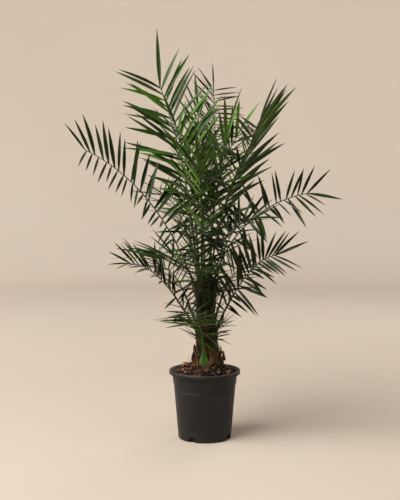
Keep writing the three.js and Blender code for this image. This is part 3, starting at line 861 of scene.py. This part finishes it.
def add_husks(heap):
    """Old leaf bases in a rising spiral, as on the part's stem, but more of them."""
    for i in range(HUSK.count):
        share = i / (HUSK.count - 1)
        size = (1 - .30 * share) * (1 + .45 * chance(5, i))
        turn, height = i * GOLDEN % 360, mix(HUSK.low, HUSK.high, share)
        if abs(turn - GREEN_FOOT.turn) < GREEN_FOOT.room and height < GREEN_FOOT.top:
            continue
        # The upper husks take the near black fibre as painted shade under the crown; lower down the
        # three tones take turns.
        tone = 2 if share > HUSK.dark_from + .3 * chance(7, i) else i % 3
        lean = HUSK.lean + HUSK.lean_stray * chance(6, i)
        add_husk(heap, turn, height, HUSK.length * size, HUSK.width * size, lean, HUSK.proud,
                 HUSK.ragged, 40 + i, tone)
    for i, torn in enumerate(TORN):
        add_husk(heap, *torn, .004, .030, 240 + i, i % 2)


def add_fibre(heap, points, thickness, slot=0):
    """A dry thread through some points, four-sided and drawn out to nothing at its end."""
    last = len(points) - 1

    def corner(i, j):
        ahead = (points[min(i + 1, last)] - points[max(i - 1, 0)]).normalized()
        side = square_to(UP if abs(ahead.z) < .9 else Vector((1, 0, 0)), ahead)
        size, angle = thickness * (1 - .8 * i / last), j * pi / 2
        return points[i] + side * (size * cos(angle)) + ahead.cross(side) * (size * sin(angle))

    add_rod(heap, last + 1, 4, corner, slot)


FIBRE = Values(count=520, low=.246, high=.49, length=.035, longer=.03, thick=.00045, steps=6)


def add_stem_fibres(heap):
    """The loose net of threads that holds the old leaf bases."""
    for i in range(FIBRE.count):
        turn, height = i * GOLDEN, mix(FIBRE.low, FIBRE.high, (i * .618) % 1)
        slope = 70 * (1 if i % 2 else -1) * (1 + .5 * chance(21, i))
        length = FIBRE.length + FIBRE.longer * (chance(22, i) + .5)
        loose = .006 + .010 * max(0, chance(23, i) * 3 - .6)
        points = []
        for j in range(FIBRE.steps + 1):
            s, n = j / FIBRE.steps, i * 7 + j
            z = height + length * s * .85
            around = turn + slope * s * length / .05 + 12 * chance(24, n)
            proud = loose * (.5 + s) + .002 * chance(25, n)
            points.append(on_stem(around, min(z, STEM.top), proud))
            points[-1].z = z
        add_fibre(heap, points, FIBRE.thick, i % 2)


# The foot of a stalk on the stem: how far it hangs below the stalk's own foot, its half width,
# where it is broadest, the share of the rib that it runs up to, and how proud and thick it is
SHEATH = Values(drop=.0165, half=.0185, broadest=.12, up_to=.42, proud=.0110, thick=.0065,
                rows=30, columns=13)


def add_leaf_base(heap, frond, slot):
    """The foot of a stalk: a tongue on the stem, rounded below, that narrows into the rib."""
    size = frond.girth / 1.25
    low, high = frond.foot - SHEATH.drop * size, frond.point(SHEATH.up_to).z
    widest, narrowest = SHEATH.half * size, frond.radius(SHEATH.up_to) * 1.25

    def pair(up, u, i, j):
        z = mix(low, high, up)
        level = min(z, STEM.top)
        body = stem_centre(level)
        t = SHEATH.up_to * max(0, z - frond.foot) / (high - frond.foot)
        rib = frond.point(t) - body
        turn = degrees(atan2(rib.y, rib.x)) if t else frond.out
        cover = hypot(rib.x, rib.y) + frond.width(t) + .0015
        far = max(stem_radius(level) + SHEATH.proud, cover + SHEATH.thick * size * .3)
        broadest = SHEATH.broadest
        if up < broadest:
            half = widest * sqrt(max(.02, 1 - (1 - up / broadest) ** 2))
        else:
            half = mix(widest, narrowest, 1 - (1 - (up - broadest) / (1 - broadest)) ** 3)
        way = heading(turn + degrees(u * half / far))
        bulge = SHEATH.thick * size * (1 - u * u) * (.5 + .5 * sin(pi * min(1, up * 1.6 + .2)))
        outer, inner = far - SHEATH.thick * .8 + bulge, far - SHEATH.thick * 1.5
        return body + way * outer, body + way * inner

    add_plate(heap, SHEATH.rows, SHEATH.columns, pair, slot)


# ---------- Pot ----------


def rounded(points, steps=5):
    """A polyline whose corners (radius, height, rounding) are rounded with short curves."""
    path = []
    for i, (radius, height, rounding) in enumerate(points):
        here = Vector((radius, height))
        if not rounding:
            path.append(here)
            continue
        before, after = Vector(points[i - 1][:2]), Vector(points[i + 1][:2])
        start = here + (before - here).normalized() * rounding
        end = here + (after - here).normalized() * rounding
        for j in range(steps + 1):
            s = j / steps
            path.append(start * (1 - s) ** 2 + here * (2 * s * (1 - s)) + end * s * s)
    return [tuple(point) for point in path]


def pot_outline():
    """The pot's section, from its recessed underside over the rolled rim to the floor inside."""
    lip = POT.height - POT.rim_height
    step = wall_radius(POT.step)
    line = .163  # a faint moulding line under the collar

    def inner(height):
        return wall_radius(height) - POT.wall

    return rounded([
        (0, .0022, 0),
        (POT.foot - .016, .0022, .0006),
        (POT.foot - .0175, 0, .0006),
        (POT.foot - .0005, 0, .0015),
        (wall_radius(.004), .004, .001),
        (wall_radius(line), line - .0008, 0),
        (wall_radius(line) + .0004, line, 0),
        (wall_radius(line), line + .0008, 0),
        (step, POT.step - .0012, .0003),
        (step + POT.step_in, POT.step, .0004),
        (wall_radius(lip), lip, .0006),
        (POT.rim - .0002, lip - .0004, .0014),
        (POT.rim, POT.height - .0001, .0032),
        (POT.rim - .0052, POT.height, .0014),
        (POT.rim - .0070, POT.height - .0030, .002),
        (inner(POT.height - .010), POT.height - .010, .002),
        (inner(POT.step), POT.step, .001),
        (inner(POT.floor + .003), POT.floor + .003, .001),
        (inner(POT.floor) - .003, POT.floor, .001),
        (0, POT.floor, 0),
    ])


def arch_cutter(turn):
    """A block with a round-headed outline, which cuts one drain notch through the pot's foot."""
    half, bend = DRAIN.width / 2, DRAIN.bend
    outline = [(-half, -DRAIN.below), (half, -DRAIN.below)]
    for side, first in ((1, 0), (-1, 90)):
        for i in range(7):
            angle = radians(first + 90 * i / 6)
            outline.append((side * (half - bend) + bend * cos(angle),
                            DRAIN.height - bend + bend * sin(angle)))
    way, across = heading(turn), heading(turn + 90)
    near, far = POT.foot - DRAIN.depth / 2, POT.foot + DRAIN.depth

    def corner(i, j):
        aside, height = outline[j]
        return way * (near, far)[i] + across * aside + UP * height

    heap = Heap()
    add_rod(heap, 2, len(outline), corner)
    return new_object("cutter", new_mesh("cutter", heap))


def make_pot():
    heap, crease = Heap(), 32
    add_lathe(heap, pot_outline(), POT.segments)
    pot = make_piece("nursery_pot", heap, [pot_material()], "pot", ["pot"], crease)
    cutters = [arch_cutter(DRAIN.first + i * 360 / DRAIN.count) for i in range(DRAIN.count)]
    for cutter in cutters:
        notch = pot.modifiers.new("notch", "BOOLEAN")
        with_values(notch, operation="DIFFERENCE", solver="EXACT", object=cutter)
    whole = pot.data
    shaped = pot.evaluated_get(bpy.context.evaluated_depsgraph_get())
    pot.data = bpy.data.meshes.new_from_object(shaped)
    pot.modifiers.clear()
    pot.data.name = "nursery_pot"
    pot.data.shade_smooth()
    pot.data.set_sharp_from_angle(angle=radians(crease))
    bpy.data.meshes.remove(whole)
    for cutter in cutters:
        bpy.data.objects.remove(cutter)


# ---------- Compost ----------


def side_radius(height):
    """Radius of the compost's side, just inside the pot."""
    return wall_radius(height) - COMPOST.gap


EDGE = side_radius(COMPOST.edge)


def ground(x, y):
    """Height of the compost's surface."""
    share = min(1, max(0, (hypot(x, y) - COMPOST.crown_radius) / (EDGE - COMPOST.crown_radius)))
    coarse = noise.noise(Vector((x * 55, y * 55, 3)))
    rough = coarse + .5 * noise.noise(Vector((x * 140, y * 140, 7)))
    return mix(COMPOST.crown, COMPOST.edge, share) - .002 + .0035 * rough * (1 - .4 * share)


def make_root_ball(material):
    floor = POT.floor + .0003
    surface = [(EDGE * (1 - i / 30), COMPOST.edge) for i in range(1, 30)]
    sides = [(side_radius(h), h) for h in np.linspace(floor + .005, COMPOST.edge - .006, 12)]
    foot = [(0, floor), (side_radius(floor) - .005, floor)]
    outline = foot + sides + surface + [(0, ground(0, 0))]

    def settle(rings):
        for ring in rings[1 + len(sides):]:
            for corner in ring:
                corner[2] = ground(corner[0], corner[1])
        return rings

    heap = Heap()
    add_lathe(heap, outline, 120, settle)
    make_piece("root_ball_compost", heap, [material], "compost", ["root_ball"], crease=60)


CHIP = Values(
    count=860, length=(.008, .024), thick=(.0015, .0050),
    broad=(.3, .75),     # share of its length
    lift=(-.001, .0065),  # of its middle over the surface
    tip=(-40, 40),       # how far it leans
    shares=(.43, .28, .16, .12, .01),  # how often each bark is dealt
    corners=7,           # of its outline
    layers=((-.5, .82), (-.15, 1), (.2, .98), (.5, .74)),  # its levels, and how far each reaches
)


def add_chip(heap, place, turn, tip, lean, size, slot, rng):
    """A flake of bark: an uneven outline of seven corners, thinner at its rim."""
    length, width, thick = size
    ahead = turned(heading(turn), UP, tip)
    level = square_to(heading(turn + 90), ahead)
    side = turned(level, ahead.cross(level), lean)
    up = ahead.cross(side)
    if up.z < 0:
        up, side = -up, -side
    wobble = rng.uniform(.62, 1.12, CHIP.corners)

    def corner(i, j):
        height, grow = CHIP.layers[i]
        angle, reach = 2 * pi * j / CHIP.corners, wobble[j] * grow
        spot = place + ahead * (length / 2 * reach * cos(angle))
        spot += side * (width / 2 * reach * sin(angle))
        return spot + up * (thick * height + thick * .5 * rng.uniform(-.5, .5))

    add_rod(heap, len(CHIP.layers), CHIP.corners, corner, slot)


CRUMBS = 2200
CRUMB = np.array([(1, 0, 0), (0, 1, 0), (-1, 0, 0), (0, -1, 0), (0, 0, 1), (0, 0, -1)], float)
CRUMB_FACES = [(i, (i + 1) % 4, 4) for i in range(4)] + [((i + 1) % 4, i, 5) for i in range(4)]


def make_chips(materials):
    """Bark chips and crumbs over the compost's surface."""
    rng = np.random.default_rng(7)
    heap = Heap()

    def spot(radius, turn):
        return radius * cos(radians(turn)), radius * sin(radians(turn))

    for i in range(CHIP.count):
        radius, turn = EDGE * rng.uniform(.22, .97) ** .7, rng.uniform(0, 360)
        length = rng.uniform(*CHIP.length) * (1.35 if rng.random() < .15 else 1)
        size = (length, length * rng.uniform(*CHIP.broad), rng.uniform(*CHIP.thick))
        x, y = spot(min(radius, EDGE - length / 2), turn)
        place = Vector((x, y, ground(x, y) + rng.uniform(*CHIP.lift)))
        slot = int(rng.choice(len(CHIP.shares), p=CHIP.shares))
        turn, tip, lean = (rng.uniform(*span) for span in ((0, 360), CHIP.tip, CHIP.tip))
        add_chip(heap, place, turn, tip, lean, size, slot, rng)
    for i in range(CRUMBS):
        x, y = spot((EDGE - .003) * rng.uniform(.15, 1) ** .6, rng.uniform(0, 360))
        grain = rng.uniform(.0010, .0030)
        corners = CRUMB * rng.uniform(.5, 1, (6, 3)) * grain + rng.uniform(-.3, .3, (6, 3)) * grain
        place = np.array((x, y, ground(x, y) + .0006))
        heap.add(corners + place, CRUMB_FACES, int(rng.integers(0, 3)))
    make_piece("bark_chips", heap, materials, "compost", ["root_ball"], crease=30)


# A fallen, dried leaf base that lies curled on the compost, left of the stem
CURL = Values(start=(-.080, -.004, .236), end=(-.044, -.012, .243), rise=.017, half=.011,
              hang=.007, thick=.0016, rows=14, columns=8)


def add_curled_leaf_base(heap):
    start, end = Vector(CURL.start), Vector(CURL.end)
    along = (end - start).normalized()
    side = Vector((-along.y, along.x, 0))

    def pair(s, u, i, j):
        centre = start.lerp(end, s) + UP * (CURL.rise * sin(pi * s) ** .7)
        centre += side * (.004 * sin(2 * pi * s))
        half = CURL.half * (sin(pi * mix(.12, .88, s)) ** .5)
        curl = side * (half * u) + UP * (-CURL.hang * u * u + .0016 * chance(61, i * 9 + j))
        return centre + curl, centre + curl - UP * CURL.thick

    add_plate(heap, CURL.rows, CURL.columns, pair)


# Strands of root and husk that run down from the stem's foot over the compost, in front
STRAND = Values(count=22, start=(.024, -.046, .262), end=(-.020, -.074, .238), spread=.016)

# Thin dry stalks: start, end and half thickness
DRY_STALKS = (
    ((-.041, -.030, .248), (-.058, -.034, .276), .0011),
    ((-.045, -.028, .246), (-.049, -.036, .268), .0008),
    ((.062, -.040, .240), (.030, -.062, .248), .0010),
    ((.050, -.060, .238), (.074, -.048, .246), .0009),
)


def add_strands(heap):
    for i in range(STRAND.count):
        def stray(n):
            return STRAND.spread * chance(71 + n, i)

        start = Vector(STRAND.start) + Vector((stray(0), stray(1) * .4, stray(2) * .5))
        end = Vector(STRAND.end) + Vector((stray(3) * 1.6, stray(4), 0))
        points = []
        for j in range(8):
            s = j / 7
            point = start.lerp(end, s) + Vector((stray(10 + j) * .12, stray(20 + j) * .12, 0))
            lowest = ground(point.x, point.y) + .003 + .002 * (chance(95, i) + .5)
            point.z = max(point.z - .004 * sin(pi * s), lowest)
            points.append(point)
        add_fibre(heap, points, .0010 + .0012 * (chance(96, i) + .5), i % 2)
    for start, end, thick in DRY_STALKS:
        start, end = Vector(start), Vector(end)
        add_fibre(heap, [start, start.lerp(end, .5) + Vector((0, .002, .002)), end], thick)


# Small weeds in the compost: place, leaves and their length
WEEDS = (
    ((.046, -.043, .243), 7, .020), ((.021, -.072, .236), 6, .016),
    ((.052, -.036, .246), 5, .014), ((-.066, .040, .238), 5, .014),
)


def add_weeds(heap):
    for number, (place, count, length) in enumerate(WEEDS):
        for i in range(count):
            turn, rise = i * GOLDEN + 40 * number, 28 + 70 * (chance(81, number * 16 + i) + .5)
            direction = heading(turn, min(rise, 80))
            across = square_to(heading(turn + 90), direction)
            shape = Values(number=i, bend=.3, curl=.2 * chance(82, i), twist=.4, fold=.3,
                           thick=.0004, dry=False)
            add_leaflet(heap, Vector(place), direction, across, direction.cross(across),
                        length * (1 + .5 * chance(83, number * 16 + i)), length * .42, shape)


# ---------- The whole ----------

dry_tip = leaf_material("dry_tip", DRY_TIP, .7, .2)


def leafy(tints):
    """The finishes of a leaflet: its face, its back and its dry tip."""
    return [leaf_material(*tint) for tint in tints] + [dry_tip]


leaf_heaps = [Heap() for green in GREENS]
ribs, bases, spines = Heap(), Heap(), Heap()
for index, row in enumerate(FRONDS):
    frond = Frond(index, row)
    add_rib(ribs, frond)
    grow_leaflets(leaf_heaps, frond)
    grow_spines(spines, frond)
    add_leaf_base(bases, frond, 0 if frond.name == "foot_front" else 1)

for (name, face, back), heap in zip(GREENS, leaf_heaps):
    tints = ((name + "_leaf", face), (name + "_leaf_back", back, .6, .3))
    make_piece("leaflets_" + name, heap, leafy(tints), "frond", FROND_NODES)
rib_finish = fibre_material(*RIB, scale=180, stretch=(1, 1, .2), roughness=.5, relief=.0002)
make_piece("frond_ribs", ribs, [rib_finish], "frond", FROND_NODES)
base_finish = [sheath_material(*base) for base in LEAF_BASES]
make_piece("leaf_bases", bases, base_finish, "frond", FROND_NODES)
make_piece("stalk_spines", spines, leafy(SPINE_GREENS), "frond", FROND_NODES)

husks = [fibre_material(*husk) for husk in HUSKS]
grow_piece("stem_core", add_stem_core, husks[2:], "stem", ["stem"])
grow_piece("stem_husks", add_husks, husks, "stem", ["stem"])
grow_piece("stem_fibres", add_stem_fibres, husks[:2], "stem", ["stem"])

bark = [bark_material(*tones) for tones in BARKS]
make_root_ball(bark[0])
make_chips(bark)
grow_piece("fallen_leaf_base", add_curled_leaf_base, husks[:1], "compost")
grow_piece("root_strands", add_strands, husks[:2], "compost")
grow_piece("small_weeds", add_weeds, leafy(WEED_GREENS)[:2], "frond")
make_pot()

# ---------- Stage, camera and light ----------

STAGE = Values(floor=5.0, bend=1.6, wall=6.0, low=-.0003, segments=96)
CAMERA = Values(place=(-.016, -2.880, .808), down=3.47, lens=62, sensor=36, reach=40)
AIR = Values(tint=(1, .96, .90, 1), strength=.22)
AIM = (0, 0, .7)
LIGHTS = (  # name, place, size, power and tint
    ("key", (-3.1, -2.3, 4.4), 5.2, 660, (1, .98, .95)),
    ("fill", (2.6, -1.6, 4.0), 3.0, 34, (1, .97, .94)),
    ("back", (1.6, 2.8, 3.0), 2.0, 40, (1, .97, .94)),
)


def make_stage():
    """A wide pale bowl: the floor and, far behind on every side, the wall it turns up into."""
    low, count = STAGE.low, STAGE.segments
    outline = [(r, low) for r in np.linspace(.5, STAGE.floor, 8)]
    for i in range(1, 17):
        angle = radians(90 * i / 16)
        outline.append((STAGE.floor + STAGE.bend * sin(angle), STAGE.bend * (1 - cos(angle)) + low))
    outline.append((STAGE.floor + STAGE.bend, STAGE.wall))
    angles = [2 * pi * j / count for j in range(count)]
    heap = Heap()
    heap.add([(0, 0, low)] + [(r * cos(a), r * sin(a), z) for r, z in outline for a in angles],
             [(0, 1 + j, 1 + (j + 1) % count) for j in range(count)]
             + [tuple(1 + k for k in reversed(face)) for face in grid_faces(len(outline), count)])
    mesh = new_mesh("studio", heap)
    mesh.materials.append(stage_material())
    mesh.shade_smooth()
    new_object("studio", mesh)


def add_light(name, place, size, power, tint):
    lamp = bpy.data.lights.new(name, "AREA")
    with_values(lamp, shape="DISK", size=size, energy=power, color=tint)
    turn = (Vector(AIM) - Vector(place)).to_track_quat("-Z", "Y").to_euler()
    with_values(new_object(name, lamp), location=place, rotation_euler=turn)


def add_camera():
    """The view of the photograph: nearly level, 2.9 m in front of the pot."""
    lens = bpy.data.cameras.new("camera")
    with_values(lens, lens=CAMERA.lens, sensor_width=CAMERA.sensor, clip_end=CAMERA.reach)
    turn = (radians(90 - CAMERA.down), 0, 0)
    bpy.context.scene.camera = with_values(new_object("camera", lens), location=CAMERA.place,
                                           rotation_euler=turn)


def add_air():
    world = bpy.data.worlds.new("studio_air")
    world.use_nodes = True
    sky = world.node_tree.nodes["Background"]
    sky.inputs["Color"].default_value = AIR.tint
    sky.inputs["Strength"].default_value = AIR.strength
    bpy.context.scene.world = world


make_stage()
add_camera()
add_air()
for light in LIGHTS:
    add_light(*light)
bpy.context.scene.view_settings.view_transform = "Standard"
